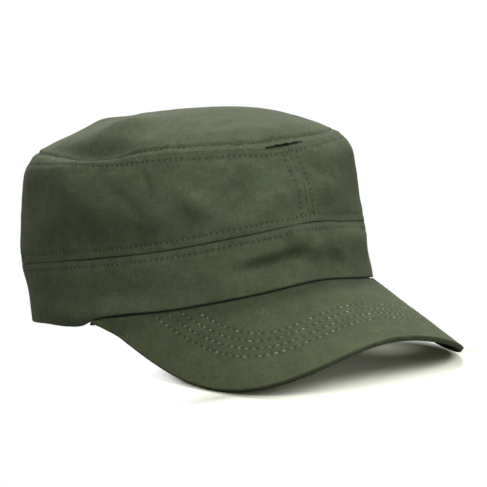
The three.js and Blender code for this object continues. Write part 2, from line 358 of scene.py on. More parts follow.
def unevenness(points, size, seed):
    """A smooth random field of about unit height, with bumps of about the given size"""
    draw = np.random.default_rng(seed)
    field = np.zeros(points.shape[:-1])
    for _ in range(WAVES["count"]):
        direction = draw.normal(size=3)
        pace = 2 * math.pi / (size * draw.uniform(*WAVES["lengths"]) * np.linalg.norm(direction))
        field += np.sin(points @ direction * pace + draw.uniform(0, 2 * math.pi))
    return field / math.sqrt(WAVES["count"] / 2)


def lengths_along(points):
    """Length of a line of points, or of many side by side, up to each of its points"""
    steps = np.linalg.norm(np.diff(points, axis=-2), axis=-1)
    start = np.zeros(steps.shape[:-1] + (1,))
    return np.concatenate([start, np.cumsum(steps, axis=-1)], axis=-1)


def facing_of(places):
    """Outward direction at each point of a laid panel"""
    across = np.gradient(places, axis=0)
    up = np.gradient(places, axis=1)
    return unit(np.cross(across, up))


# Distances of the grid's fine rows from a sewn edge, and the one that the stitches follow
NEAR_ROWS = np.concatenate([[0], FIRST_ROW + FINE_STEP * np.arange(FINE_ROWS + 1)])
STITCH_ROW = int(np.argmin(np.abs(NEAR_ROWS - STITCH_INSET)))


def spread_rows(length, low, high, middle):
    """Distances of rows over a length: the given ones near both ends, and even steps between"""
    length = np.atleast_1d(length)[:, None]
    share = np.linspace(0, 1, middle + 1)[1:-1]
    start = np.broadcast_to(low, (len(length), len(low)))
    open_rows = low[-1] + (length - high[-1] - low[-1]) * share
    return np.concatenate([start, open_rows, length - high[::-1]], axis=1)


def even_columns(length, ends):
    """Distances of columns over a length: fine ones at both ends and open ones between"""
    middle = round((length - 2 * ends[-1]) / OPEN_STEP)
    return spread_rows(length, ends, ends, middle)[0]


def levels_at(angles, low, high, plan):
    """Levels of a wall's rows. plan turns the cloth's height at each angle into the rows' distances."""
    low = np.broadcast_to(low, angles.shape)[:, None]
    fine = lerp(low, high, np.linspace(0, 1, MEASURE_STEPS))
    climbed = lengths_along(cloth_point(angles[:, None], fine))
    distances = plan(climbed[:, -1])
    levels = np.array([np.interp(d, c, f) for d, c, f in zip(distances, climbed, fine)])
    return levels, distances


# Sewing lines
def resampled(where, run, values):
    """Points of a line at the given lengths along it"""
    return np.stack([np.interp(where, run, values[:, i]) for i in range(3)], -1)


def stitch_row(points, normals, stitch, seed):
    """Even stitches along a line: their middles, directions, normals and the needle holes between them"""
    run = lengths_along(points)
    count = max(round(run[-1] / stitch["pitch"]), 1)
    holes = np.linspace(0, run[-1], count + 1)
    middles = (holes[1:] + holes[:-1]) / 2
    places = resampled(middles, run, points)
    along = unit(resampled(holes[1:], run, points) - resampled(holes[:-1], run, points))
    thread = run[-1] / count * stitch["share"]
    draw = np.random.default_rng(seed)
    return {
        "places": places,
        "along": along,
        "normals": unit(resampled(middles, run, normals)),
        "holes": resampled(holes, run, points),
        "length": thread * (1 + stitch["uneven"] * draw.uniform(-1.5, 1.5, count)),
        "turn": stitch["uneven"] * draw.normal(0, 1, count),
        "tone": draw.uniform(0, 1, count),
        "diameter": stitch["diameter"] * (1 + stitch["uneven"] * draw.uniform(-1, 1, count)),
        "rise": stitch["rise"],
    }


def nearest(points, line):
    """Distance of each point from the nearest point of a line"""
    tree = kdtree.KDTree(len(line))
    for i, place in enumerate(line):
        tree.insert(place, i)
    tree.balance()
    found = np.array([tree.find(point)[2] for point in points.reshape(-1, 3)])
    return found.reshape(points.shape[:-1])


def sewn(surface, rise, facing, rows, stitch=SEAM_STITCH):
    """Sinks the cloth at the needle holes, and paints shade into them"""
    holes = np.concatenate([row["holes"] for row in rows])
    away = nearest(surface + facing * rise[..., None], holes)
    rise = rise - stitch["pit"] * bell(away, PIT["reach"])
    return rise, stitch["dark"] * bell(away, PIT["shade_reach"])


# Shade painted by each kind of seam or edge, its darkness and its reach: in the seams, along the gap
# above the forehead, along the line under the band's hem, on the peak's edge and over the peak by the band
SEAM_SHADE = {
    "foot": (0.75, 0.0006),
    "slit": (1.0, 0.0004),
    "hem": (0.9, 0.0008),
    "edge": (0.25, 0.0008),
    "root": (0.24, 0.0100),
}


def add_painted_shade(shade, kind, away, share=1.0):
    """Adds the shade painted by a seam or edge to the cloth's painted shade"""
    darkness, reach = SEAM_SHADE[kind]
    return np.maximum(shade, share * darkness * np.exp(-((away / reach) ** 4)))


# How the cloth lies beside a sewn edge: the strip up to the stitches stands proud or low, the panel swells
# past them over a reach, and the stitches draw a groove with puckers
EDGES = table(
    "edge  strip  puff  reach  groove  pucker",
    ("band_top", 0.00015, 0.00025, 0.010, 0.00016, 0.00010),
    ("side_foot", 0.00010, 0.00025, 0.010, 0.00016, 0.00010),
    ("side_head", 0.00015, 0.00020, 0.010, 0.00020, 0.00012),
    ("side_end", 0.00010, 0.00012, 0.008, 0.00012, 0.00008),
    ("top_edge", -0.00025, 0.00065, 0.016, 0.00030, 0.00014),
)
BESIDE = {row["edge"]: row for row in EDGES}
STRIP_FADE = 0.002
STRIP_CROWN = 0.00012
PUFF_START = 0.0025
GROOVE_WIDTH = 0.0006
PUCKER = {"reach": 0.003, "size": 0.0035, "stretch": 0.4}


def beside(edge, away, along, seed):
    """Height of the cloth beside a sewn edge, by the distance from it and the place along it"""
    row = BESIDE[edge]
    past = away - STITCH_INSET
    strip = row["strip"] * (1 - smooth_step(0.0, STRIP_FADE, past))
    strip = strip + STRIP_CROWN * np.sin(np.pi * np.clip(away / STITCH_INSET, 0, 1))
    puff = row["puff"] * smooth_step(0, PUFF_START, past) * bell(np.maximum(past, 0), row["reach"])
    groove = row["groove"] * bell(past, GROOVE_WIDTH)
    line = np.stack([along, PUCKER["stretch"] * away, np.zeros_like(along)], -1)
    pucker = row["pucker"] * unevenness(line, PUCKER["size"], seed) * bell(past, PUCKER["reach"])
    return strip + puff - groove + pucker


# Sizes and heights of the open cloth's slight unevenness
SOFTNESS = table(
    "size  height",
    (0.030, 0.00012),
    (0.012, 0.00009),
    (0.005, 0.00005),
)


def softness(points, seed, share=1.0):
    """Height of the open cloth's unevenness"""
    return share * sum(
        row["height"] * unevenness(points, row["size"], seed + i) for i, row in enumerate(SOFTNESS)
    )


def seam_shade_share(angle):
    """How dark the shade painted in the band's seam is"""
    slack = smooth_step(LIGHTER_SEAM_SHADE["from"], LIGHTER_SEAM_SHADE["to"], np.abs(wrapped(angle)))
    return 1 - LIGHTER_SEAM_SHADE["less"] * slack


def slit_width(angle):
    """Width of the gap above the forehead, with its ragged lip"""
    share = (wrapped(angle) - SLIT["from"]) / (SLIT["to"] - SLIT["from"])
    ragged = sum((height * np.sin(waves * share) for waves, height in SLIT["ragged"]), 1)
    return SLIT["width"] * ragged * np.sqrt(np.sin(np.pi * np.clip(share, 0, 1)))


def in_slit(angle):
    """Where the gap is wide enough for its edges to be painted black, as painted shade"""
    return slit_width(angle) > SLIT["dark"]


# How far in from a sewn edge the cloth is rubbed
EDGE_WEAR = 0.0009

# Meshes: points that count as one place, and how a bevel rounds an edge
SAME_PLACE = 0.00002
ROUND_EDGE = {"segments": 4, "limit_method": "ANGLE", "angle_limit": math.radians(55)}


def read(items, name, width, kind=np.float32):
    """One value or vector of each vertex, corner or attribute row, as an array"""
    values = np.empty(len(items) * width, kind)
    items.foreach_get(name, values)
    return values.reshape(-1, width) if width > 1 else values


def write(items, name, values):
    """Puts an array back into the vertices, corners or attribute rows"""
    items.foreach_set(name, np.ascontiguousarray(values, np.float32).ravel())


def attribute(mesh, name, kind, values):
    """A named value or vector at each vertex"""
    layer = mesh.attributes.new(name, kind, "POINT")
    write(layer.data, "vector" if kind == "FLOAT_VECTOR" else "value", values)


def panel(name, places, pattern, lift, shade, wear, under=None):
    """A flat cut of cloth as a grid, laid at its places. pattern holds its flat coordinates, lift and
    under the fine relief of its outer and inner faces, shade its painted shade and wear its rubbed places."""
    columns, rows = places.shape[0] - 1, places.shape[1] - 1
    bpy.ops.mesh.primitive_grid_add(x_subdivisions=columns, y_subdivisions=rows, size=1)
    piece = bpy.context.active_object
    piece.name = piece.data.name = name
    flat = read(piece.data.vertices, "co", 3)
    column_of = np.rint((flat[:, 0] + 0.5) * columns).astype(int)
    row_of = np.rint((flat[:, 1] + 0.5) * rows).astype(int)
    write(piece.data.vertices, "co", places[column_of, row_of])
    corners = read(piece.data.loops, "vertex_index", 1, np.int32)
    write(piece.data.uv_layers.active.data, "uv", pattern[column_of[corners], row_of[corners]])
    attribute(piece.data, "lift", "FLOAT_VECTOR", lift[column_of, row_of])
    if under is not None:
        attribute(piece.data, "under", "FLOAT_VECTOR", under[column_of, row_of])
    attribute(piece.data, "shade", "FLOAT", shade[column_of, row_of])
    attribute(piece.data, "wear", "FLOAT", wear[column_of, row_of])
    piece.data.update()
    return piece


def apply_modifier(piece, kind, **settings):
    """Adds a modifier with its settings and applies it"""
    modifier = piece.modifiers.new(kind.title(), kind)
    for name, value in settings.items():
        setattr(modifier, name, value)
    bpy.context.view_layer.objects.active = piece
    bpy.ops.object.modifier_apply(modifier=modifier.name)


def merge_ends(piece):
    """Joins the two ends of a panel that goes all the way round"""
    bpy.context.view_layer.objects.active = piece
    bpy.ops.object.mode_set(mode="EDIT")
    bpy.ops.mesh.select_all(action="SELECT")
    bpy.ops.mesh.remove_doubles(threshold=SAME_PLACE)
    bpy.ops.object.mode_set(mode="OBJECT")


def thicken(piece, thickness, rounding=0.0):
    """Gives laid cloth its thickness and its fine relief, and rounds its edges"""
    count = len(piece.data.vertices)
    apply_modifier(piece, "SOLIDIFY", thickness=thickness, offset=-1, use_rim=True)
    points = read(piece.data.vertices, "co", 3)
    points[:count] += read(piece.data.attributes["lift"].data, "vector", 3)[:count]
    if "under" in piece.data.attributes:
        points[count:] += read(piece.data.attributes["under"].data, "vector", 3)[count:]
    write(piece.data.vertices, "co", points)
    if rounding:
        apply_modifier(piece, "BEVEL", width=rounding, **ROUND_EDGE)
    for name in ("lift", "under"):
        if name in piece.data.attributes:
            piece.data.attributes.remove(piece.data.attributes[name])
    bpy.ops.object.select_all(action="DESELECT")
    piece.select_set(True)
    bpy.ops.object.shade_smooth()
    piece.select_set(False)


# The two side panels. Near the front and back seams their columns turn upright, as the seams are. The lines
# of stitches keep clear of the first columns and rows.
SIDE_ROUND = 0.00045
SIDE_MIDDLE = 46
UPRIGHT = (0.008, 0.03)
CLEAR_COLUMNS = 3
CLEAR_ROWS = 12
FOOT_SHIFT = GAPS["foot"] / WALL_HEIGHT
HEAD_SHIFT = GAPS["head"] / WALL_HEIGHT


def end_angle(distance, level):
    """Angle of a place at a short distance round from the front or back seam"""
    return np.degrees(np.arcsin(np.clip(distance / half(level), 0, 1)))


def side_panel(name, sign, seed):
    """One side of the crown. sign is -1 at the wearer's right and 1 at the left."""
    fine = np.linspace(0, 180, 721)
    run = lengths_along(smooth_point(fine, 1.5))
    around = even_columns(run[-1], NEAR_ROWS)
    base = np.interp(around, run, fine)
    levels, heights = levels_at(
        sign * base,
        1 + FOOT_SHIFT,
        2 - HEAD_SHIFT,
        lambda height: spread_rows(height, NEAR_ROWS, NEAR_ROWS, SIDE_MIDDLE),
    )
    from_front = np.broadcast_to(around[:, None], levels.shape)
    from_back = run[-1] - from_front
    near_front = 1 - smooth_step(*UPRIGHT, from_front)
    near_back = 1 - smooth_step(*UPRIGHT, from_back)
    angle = lerp(base[:, None], end_angle(from_front + GAPS["end"], levels), near_front)
    angle = lerp(angle, 180 - end_angle(from_back + GAPS["end"], levels), near_back)
    places = laid(cloth_point(sign * angle, levels))
    foot = heights
    head = heights[:, -1:] - heights
    if sign < 0:
        places, angle, foot, head, from_front, from_back = (
            grid[::-1] for grid in (places, angle, foot, head, from_front, from_back)
        )
    facing = facing_of(places)
    along_foot = lengths_along(places[:, len(NEAR_ROWS)])[:, None] + np.zeros_like(foot)
    rise = softness(places, seed)
    rise = rise + beside("side_foot", foot, along_foot, seed + 10)
    rise = rise + beside("side_head", head, along_foot, seed + 11)
    rise = rise + beside("side_end", from_front, foot, seed + 12)
    rise = rise + beside("side_end", from_back, foot, seed + 13)
    surface = places + facing * rise[..., None]

    both = (STITCH_ROW, -1 - STITCH_ROW)
    ends = slice(CLEAR_COLUMNS, -CLEAR_COLUMNS)
    clear = slice(CLEAR_ROWS, -CLEAR_ROWS)
    lines = [(surface[ends, i], facing[ends, i]) for i in both]
    lines += [(surface[i, clear], facing[i, clear]) for i in both]
    rows = [stitch_row(*line, SEAM_STITCH, seed + 20 + i) for i, line in enumerate(lines)]
    rise, shade = sewn(places, rise, facing, rows)
    # Painted shade in the band's seam, and painted black shade along the gap above the forehead
    shade = add_painted_shade(shade, "foot", foot, seam_shade_share(angle))
    shade = add_painted_shade(shade, "slit", head, in_slit(sign * angle))
    from_edge = np.minimum(np.minimum(foot, head), np.minimum(from_front, from_back))
    wear = bell(from_edge, EDGE_WEAR)
    pattern = np.stack([sign * from_front, foot], -1)
    piece = panel(name, places, pattern, facing * rise[..., None], shade, wear)
    thicken(piece, CROWN_CLOTH, SIDE_ROUND)
    return piece, rows


# The band. Over the peak its hem is raised a little, which comes on between two angles, and at the back
# its two ends meet in a groove.
BAND_ROUND = 0.0009
BAND_MIDDLE = 26
HEM_ROWS = (0, 0.0011, 0.0018)
HEM_RAISE = {"level": 0.008, "from": 83, "to": 72}
BACK_GROOVE = {"depth": 0.0007, "reach": 0.0006}
BAND_SOFTNESS = 0.8
RESTING = 0.0008
ALLOWANCE = {"depth": 0.0023, "reach": 0.14, "thickness": 0.0008, "columns": 360, "rows": 10}


def seam_allowance():
    """The cloth turned in behind the band's seam, all the way round"""
    angles = np.linspace(-180, 180, ALLOWANCE["columns"] + 1)
    levels = 1 + ALLOWANCE["reach"] * np.linspace(-1, 1, ALLOWANCE["rows"] + 1)
    places = laid(cloth_point(angles[:, None], levels[None, :], ALLOWANCE["depth"]))
    along = lengths_along(places[:, 0])[:, None] + np.zeros(places.shape[:-1])
    climbed = lengths_along(places)
    flat = np.zeros_like(places)
    plain = np.zeros(places.shape[:-1])
    strip = panel("seam_allowance", places, np.stack([along, climbed], -1), flat, plain, plain)
    merge_ends(strip)
    thicken(strip, ALLOWANCE["thickness"])
    return strip


def band_panel(seed):
    """The band, from the back all the way round to the back"""
    fine = np.linspace(-180, 180, 1441)
    run = lengths_along(smooth_point(fine, 0.5))
    around = even_columns(run[-1], NEAR_ROWS)
    angle = np.interp(around, run, fine)
    over_peak = smooth_step(-HEM_RAISE["from"], -HEM_RAISE["to"], -np.abs(angle))
    levels, heights = levels_at(
        angle,
        HEM_RAISE["level"] * over_peak,
        1 - FOOT_SHIFT,
        lambda height: spread_rows(height, HEM_ROWS, NEAR_ROWS, BAND_MIDDLE),
    )
    places = laid(cloth_point(angle[:, None], levels), flattened=True)
    facing = facing_of(places)
    foot = heights
    head = heights[:, -1:] - heights
    along = np.broadcast_to(around[:, None], foot.shape)
    from_back = np.minimum(along, run[-1] - along)
    rise = softness(places, seed, BAND_SOFTNESS)
    rise = rise + beside("band_top", head, along, seed + 10)
    rise = rise + beside("side_end", from_back, foot, seed + 11)
    rise = rise - BACK_GROOVE["depth"] * bell(from_back, BACK_GROOVE["reach"])
    resting = places[..., 2] < RESTING
    rise = np.where(resting, np.minimum(rise, 0), rise)
    surface = places + facing * rise[..., None]

    upright = slice(len(HEM_ROWS), -CLEAR_ROWS)
    lines = [(surface[:, -1 - STITCH_ROW], facing[:, -1 - STITCH_ROW])]
    lines += [(surface[i, upright], facing[i, upright]) for i in (STITCH_ROW, -1 - STITCH_ROW)]
    rows = [stitch_row(*line, SEAM_STITCH, seed + 20 + i) for i, line in enumerate(lines)]
    rise, shade = sewn(places, rise, facing, rows)
    # Painted shade in the seam with the crown, and a painted shadow line along the hem over the peak
    shade = add_painted_shade(shade, "foot", head, seam_shade_share(angle)[:, None])
    shade = add_painted_shade(shade, "hem", foot, over_peak[:, None])
    wear = bell(np.minimum(foot, head), EDGE_WEAR)
    pattern = np.stack([along, foot], -1)
    piece = panel("head_band", places, pattern, facing * rise[..., None], shade, wear)
    merge_ends(piece)
    thicken(piece, BAND_CLOTH, BAND_ROUND)
    allowance = seam_allowance()
    allowance.select_set(True)
    piece.select_set(True)
    bpy.context.view_layer.objects.active = piece
    bpy.ops.object.join()
    piece.select_set(False)
    return piece, rows


# The top panel is a square grid spread into a disc, ring by ring. EDGE_LEVEL is where its edge is measured.
TOP_GRID = 164
TOP_STEP = 0.5
EDGE_LEVEL = 2.05


def disc_coordinates(count):
    """Angle and ring of each corner of a square grid that is spread into a disc, ring by ring"""
    steps = np.arange(count + 1) - count // 2
    a, b = np.meshgrid(steps, steps, indexing="ij")
    ring = np.maximum(np.abs(a), np.abs(b))
    safe = np.maximum(ring, 1)
    lies_across = np.abs(a) >= np.abs(b)
    sideways = np.where(a >= 0, 45 * b / safe, 180 - 45 * b / safe)
    upright = np.where(b >= 0, 90 - 45 * a / safe, -90 + 45 * a / safe)
    return np.where(lies_across, sideways, upright) + 90.0, ring


def flatness(angle):
    """How much flatter the edge of the top gets, coming round from the front to the wearer's left"""
    return FLAT_EDGE["less"] * smooth_step(*FLAT_EDGE["from"], angle)


def top_panel(seed):
    """The oval top, from its edge to its middle"""
    rings = TOP_GRID // 2
    angles = np.arange(-180, 181, TOP_STEP)
    starts = 2 + (GAPS["head"] + slit_width(angles)) / TOP_RADIUS
    share = np.linspace(0, 1, MEASURE_STEPS)
    fine = lerp(starts[:, None], 3.0, share[None, :])
    climbed = lengths_along(cloth_point(angles[:, None], fine))
    radius = climbed[:, -1:]
    even = np.linspace(0, 1, rings + 1 - len(NEAR_ROWS) + 1)[1:]
    fine_rows = np.broadcast_to(NEAR_ROWS, (len(angles), len(NEAR_ROWS)))
    open_rows = NEAR_ROWS[-1] + (radius - NEAR_ROWS[-1]) * even
    distances = np.concatenate([fine_rows, open_rows], axis=1)
    levels = np.array([np.interp(d, c, f) for d, c, f in zip(distances, climbed, fine)])

    angle, ring = disc_coordinates(TOP_GRID)
    angle = wrapped(angle)
    level = np.empty(angle.shape)
    away = np.empty(angle.shape)
    for k in range(rings + 1):
        here = ring == k
        level[here] = np.interp(angle[here], angles, levels[:, rings - k])
        away[here] = np.interp(angle[here], angles, distances[:, rings - k])
    level[ring == 0] = 3
    places = laid(cloth_point(angle, level))
    facing = facing_of(places)
    along = np.interp(angle, angles, lengths_along(cloth_point(angles, EDGE_LEVEL)))
    fullness = 1 - flatness(angle) * (1 - smooth_step(*FLAT_EDGE["to"], angle))
    rise = softness(places, seed) + fullness * beside("top_edge", away, along, seed + 10)

    line_angles = angles[1:-1]
    line_level = levels[1:-1, STITCH_ROW]
    line = laid(cloth_point(line_angles, line_level))
    line_facing = unit(laid(cloth_point(line_angles, line_level, -OUT_STEP)) - line)
    depth = BESIDE["top_edge"]["strip"] - BESIDE["top_edge"]["groove"]
    line = line + line_facing * depth * (1 - flatness(line_angles))[:, None]
    rows = [stitch_row(line, line_facing, SEAM_STITCH, seed + 20)]
    rise, shade = sewn(places, rise, facing, rows)
    # Painted black shade along the gap above the forehead
    shade = add_painted_shade(shade, "slit", away, in_slit(angle))
    wear = bell(away, EDGE_WEAR)
    from_middle = np.interp(angle, angles, radius[:, 0]) - away
    turn = np.radians(angle)
    pattern = np.stack([from_middle * np.sin(turn), -from_middle * np.cos(turn)], -1)
    piece = panel("crown_top_panel", places, pattern, facing * rise[..., None], shade, wear)
    thicken(piece, CROWN_CLOTH, SIDE_ROUND)
    return piece, rows


# The peak
def peak_height(x, y):
    """Height of the peak's upper face, which slopes down forwards and arches from side to side"""
    ahead = -y - OUTLINE[0]["front"]
    radius = PEAK["arch"] * (1 - PEAK["arch_taper"] * ahead)
    drop = radius - np.sqrt(radius**2 - np.minimum(np.abs(x), radius * PEAK["arch_limit"]) ** 2)
    return PEAK["root_height"] - math.tan(math.radians(PEAK["slope"])) * ahead - drop


def peak_edge(share):
    """The peak's outer edge, from -1 at the wearer's right end to 1 at the left one"""
    power = PEAK["corner_power"]
    away = np.abs(share)
    near, far = away ** (power / 2), (1 - away) ** (power / 2)
    turn = np.pi / 2 * near / (near + far)
    attach = math.radians(PEAK["attach"])
    half_width = OUTLINE[0]["half"] * math.sin(attach) + PEAK["flare"]
    start = -OUTLINE[0]["front"] * math.cos(attach)
    depth = OUTLINE[0]["front"] + PEAK["reach"] + start
    x = half_width * np.sign(share) * np.sin(turn) ** (2 / power)
    y = start - depth * np.maximum(np.cos(turn), 0) ** (2 / power)
    excess = peak_height(half_width, start) - rim(PEAK["attach"]) + PEAK["tuck"]
    return np.stack([x, y, peak_height(x, y) - excess * away ** PEAK["tuck_power"]], -1)


def root_angle(share):
    """Where the peak is sewn to the band. Its two ends reach a little further back than its edge."""
    return share * PEAK["attach"] + np.sign(share) * PEAK["end_reach"] * np.abs(share) ** PEAK["end_power"]


def peak_top(share, along):
    """The peak's upper face: along is 0 under the band's inner face and 1 at the edge"""
    angle = root_angle(share)
    under = cloth_point(angle, 0.0 * angle, BAND_CLOTH)
    root = cloth_point(angle, 0.0 * angle)
    root_share = PEAK["root_share"]
    tucked = lerp(under, root, np.clip(along / root_share, 0, 1)[..., None])
    out = np.clip((along - root_share) / (1 - root_share), 0, 1)
    flared = (root - smooth_point(angle, 0.0 * angle)) * (np.abs(share) ** PEAK["follow_power"])[..., None]
    edge = peak_edge(share) + flared
    point = lerp(root, edge, out[..., None])
    rise = root[..., 2] - peak_height(root[..., 0], root[..., 1])
    sink = edge[..., 2] - peak_height(edge[..., 0], edge[..., 1])
    point[..., 2] = peak_height(point[..., 0], point[..., 1]) + rise * (1 - out) ** 2 + sink * out
    point = np.where((along <= root_share)[..., None], tucked, point)
    return point - np.array([0, 0, HEM_GAP])


# The peak's grid: its columns at the two ends, its rows at the rounded edge, closer where the peak is
# short, and its last rows, which lie under the band and turn up behind it. The tab gives their levels and
# distances behind the band's cloth.
PEAK_ENDS = (0, 0.0003, 0.0006, 0.001, 0.0014, 0.002)
PEAK_RIM = (0, 0.00005, 0.00015, 0.0003, 0.0005, 0.0007, 0.0012)
PEAK_SHORT = 0.008
PEAK_MIDDLE = 66
PEAK_TUCKED = (0.66, 0.33, 0)
PEAK_TAB = ((0.02, 0.0004), (0.06, 0.0006), (0.11, 0.0006), (0.15, 0.0006))

# The peak's finish: its rounded edge, the groove under each row of stitches, how far the rows below sink
# into it, the strip with the rows, which stands a little proud, and the rubbed line near the edge
PEAK_ROUND = 0.0007
PEAK_GROOVE = 0.00016
PEAK_THREAD_SINK = 0.0001
QUILTING = {"height": 0.00012, "fade": 0.003}
PEAK_SOFTNESS = {"share": 0.35, "fade": 0.004}
PEAK_WEAR = {"middle": 0.0012, "reach": 0.0006}


def peak_shares(edge_line, fine):
    """Shares of the peak's columns round its edge"""
    run = lengths_along(edge_line)
    return np.interp(even_columns(run[-1], np.array(PEAK_ENDS)), run, fine)


def peak_rows_along(share):
    """Places along the peak of the rows of each column, from its edge to its root and under the band"""
    start = peak_top(share, np.full_like(share, PEAK["root_share"]))
    length = np.linalg.norm(peak_top(share, np.ones_like(share)) - start, axis=1)
    rim_rows = np.array(PEAK_RIM)
    scale = np.minimum(length / PEAK_SHORT, 1)[:, None]
    even = np.linspace(0, 1, PEAK_MIDDLE + 1)[1:]
    from_edge = rim_rows[-1] * scale + (length[:, None] - rim_rows[-1] * scale) * even
    from_edge = np.concatenate([rim_rows * scale, from_edge], axis=1)
    out = 1 - from_edge / length[:, None]
    along = PEAK["root_share"] + (1 - PEAK["root_share"]) * out
    tucked = PEAK["root_share"] * np.array(PEAK_TUCKED)
    return np.concatenate([along, np.broadcast_to(tucked, (len(share), len(tucked)))], axis=1)


def peak_stitches(inset, surface, lower, facing, seed):
    """The rows of stitches on the peak's upper and lower faces. inset is the distance from its edge, for
    the rows of the grid that show."""
    above, below = [], []
    steps = np.arange(inset.shape[1])
    for i, line in enumerate(PEAK_ROWS):
        tops, normals, unders = [], [], []
        for c in range(len(inset)):
            if inset[c].max() <= line:
                continue
            at = np.interp(line, inset[c], steps)
            k, part = int(at), at - int(at)
            tops.append(lerp(surface[c, k], surface[c, k + 1], part))
            unders.append(lerp(lower[c, k], lower[c, k + 1], part))
            normals.append(facing[c, k])
        tops, normals, unders = (np.array(points)[2:-2] for points in (tops, normals, unders))
        above.append(stitch_row(tops, normals, PEAK_STITCH, seed + 20 + i))
        below.append(stitch_row(unders, -normals, PEAK_STITCH, seed + 30 + i))
    return above, below


def peak_panel(seed):
    """The peak, from its right end to its left one, and from its edge to the tab behind the band"""
    fine = np.linspace(-1, 1, 2401)
    edge_line = laid(peak_top(fine, np.ones_like(fine)))
    root_line = laid(peak_top(fine, np.full_like(fine, PEAK["root_share"])))
    end_lines = [laid(peak_top(np.full(60, end), np.linspace(0, 1, 60))) for end in (-1.0, 1.0)]
    share = peak_shares(edge_line, fine)
    along = peak_rows_along(share)
    tab = [cloth_point(root_angle(share), up + 0 * share, BAND_CLOTH + past) for up, past in PEAK_TAB]
    board = peak_top(np.broadcast_to(share[:, None], along.shape), along)
    places = laid(np.concatenate([board, np.stack(tab, 1)], axis=1))
    shown = slice(0, -(len(PEAK_TUCKED) + len(PEAK_TAB)))
    facing = facing_of(places)

    inset = nearest(places, edge_line)
    border = np.minimum(inset, nearest(places, np.concatenate(end_lines)))
    t = np.clip(1 - border / PEAK_ROUND, 0, 1)
    rounding = PEAK_ROUND * (1 - np.sqrt(1 - t**2))
    rise = softness(places, seed, PEAK_SOFTNESS["share"]) * smooth_step(0, PEAK_SOFTNESS["fade"], border)
    for line in PEAK_ROWS:
        rise = rise - PEAK_GROOVE * bell(inset - line, GROOVE_WIDTH)
    quilted = smooth_step(PEAK_ROWS[0] - QUILTING["fade"], PEAK_ROWS[0], inset)
    quilted = quilted * (1 - smooth_step(PEAK_ROWS[-1], PEAK_ROWS[-1] + QUILTING["fade"], inset))
    rise = rise + QUILTING["height"] * quilted
    surface = places + facing * rise[..., None]
    lower = places - facing * (PEAK["thickness"] - PEAK_THREAD_SINK)

    rows, below = peak_stitches(inset[:, shown], surface, lower, facing, seed)
    rise, shade = sewn(places, rise, facing, rows, PEAK_STITCH)
    from_root = nearest(places, root_line)
    from_middle = np.broadcast_to(np.abs(share)[:, None], places.shape[:-1])
    # Painted shade on the peak's rounded edge and over the peak by the band, and a painted shadow line
    # under the band's hem
    shade = add_painted_shade(shade, "edge", border)
    shade = add_painted_shade(shade, "root", from_root)
    shade = add_painted_shade(shade, "hem", from_root, 1 - smooth_step(*PEAK["hidden_from"], from_middle))
    wear = bell(border - PEAK_WEAR["middle"], PEAK_WEAR["reach"])
    pattern = np.stack([places[..., 0], places[..., 1]], -1)
    lift = facing * (rise - rounding)[..., None]
    thinning = PEAK["end_thinning"] * smooth_step(*PEAK["thin_from"], from_middle)
    under = facing * (rounding + thinning)[..., None]
    piece = panel("peak_board", places, pattern, lift, shade, wear, under)
    thicken(piece, PEAK["thickness"])
    return piece, rows + below


# Stitches. Towards its ends a stitch dips into its holes, by a depth in diameters.
STITCH_DIP = {"depth": 0.9, "power": 2.5}


def thread_stitch():
    """One stitch, made a metre long and thick: full in its middle and drawn down at both ends"""
    bpy.ops.mesh.primitive_uv_sphere_add(segments=6, ring_count=7, radius=0.5)
    stitch = bpy.context.active_object
    bpy.ops.object.mode_set(mode="EDIT")
    bpy.ops.mesh.select_all(action="SELECT")
    bpy.ops.transform.rotate(value=math.pi / 2, orient_axis="Y", center_override=(0, 0, 0))
    bpy.ops.object.mode_set(mode="OBJECT")
    points = read(stitch.data.vertices, "co", 3)
    reach = np.clip(np.abs(points[:, 0]) * 2, 0, 1)
    fullness = (1 - reach**4) ** 0.5 / np.maximum((1 - reach**2) ** 0.5, 0.05)
    points[:, 1:] *= fullness[:, None]
    points[:, 2] -= STITCH_DIP["depth"] * reach ** STITCH_DIP["power"]
    faces = [list(face.vertices) for face in stitch.data.polygons]
    bpy.data.objects.remove(stitch)
    return points, faces


stitch_points, stitch_faces = thread_stitch()


def stitches(name, rows):
    """All the stitches of some rows, as copies of one stitch in one mesh"""
    vertices, faces, tones = [], [], []
    for row in rows:
        side = np.cross(row["normals"], row["along"])
        along = row["along"] + side * row["turn"][:, None]
        columns = (row["places"], along, side, row["normals"], row["length"], row["diameter"], row["tone"])
        for place, x, y, z, length, d, tone in zip(*columns):
            start = len(vertices) * len(stitch_points)
            local = stitch_points[:, :1] * x * length
            local = local + stitch_points[:, 1:2] * y * d + stitch_points[:, 2:] * z * d
            vertices.append(place + z * d * row["rise"] + local)
            faces += [[start + i for i in face] for face in stitch_faces]
            tones += [tone] * len(stitch_points)
    mesh = bpy.data.meshes.new(name)
    mesh.from_pydata(np.concatenate(vertices).tolist(), [], faces)
    attribute(mesh, "tone", "FLOAT", np.array(tones))
    piece = bpy.data.objects.new(name, mesh)
    bpy.context.scene.collection.objects.link(piece)
    bpy.context.view_layer.objects.active = piece
    piece.select_set(True)
    bpy.ops.object.mode_set(mode="EDIT")
    bpy.ops.mesh.select_all(action="SELECT")
    bpy.ops.mesh.normals_make_consistent(inside=False)
    bpy.ops.object.mode_set(mode="OBJECT")
    bpy.ops.object.shade_smooth()
    piece.select_set(False)
    return piece


# Materials. MIX names the places of a mix node's sockets for colours.
MIX = {"factor": 0, "a": 6, "b": 7, "result": 2}


def fill(tree, node, inputs):
    """Gives a node's inputs, by name or place, their values or the sockets that they join"""
    for name, value in dict(inputs).items():
        if isinstance(value, bpy.types.NodeSocket):
            tree.links.new(value, node.inputs[name])
        else:
            node.inputs[name].default_value = value


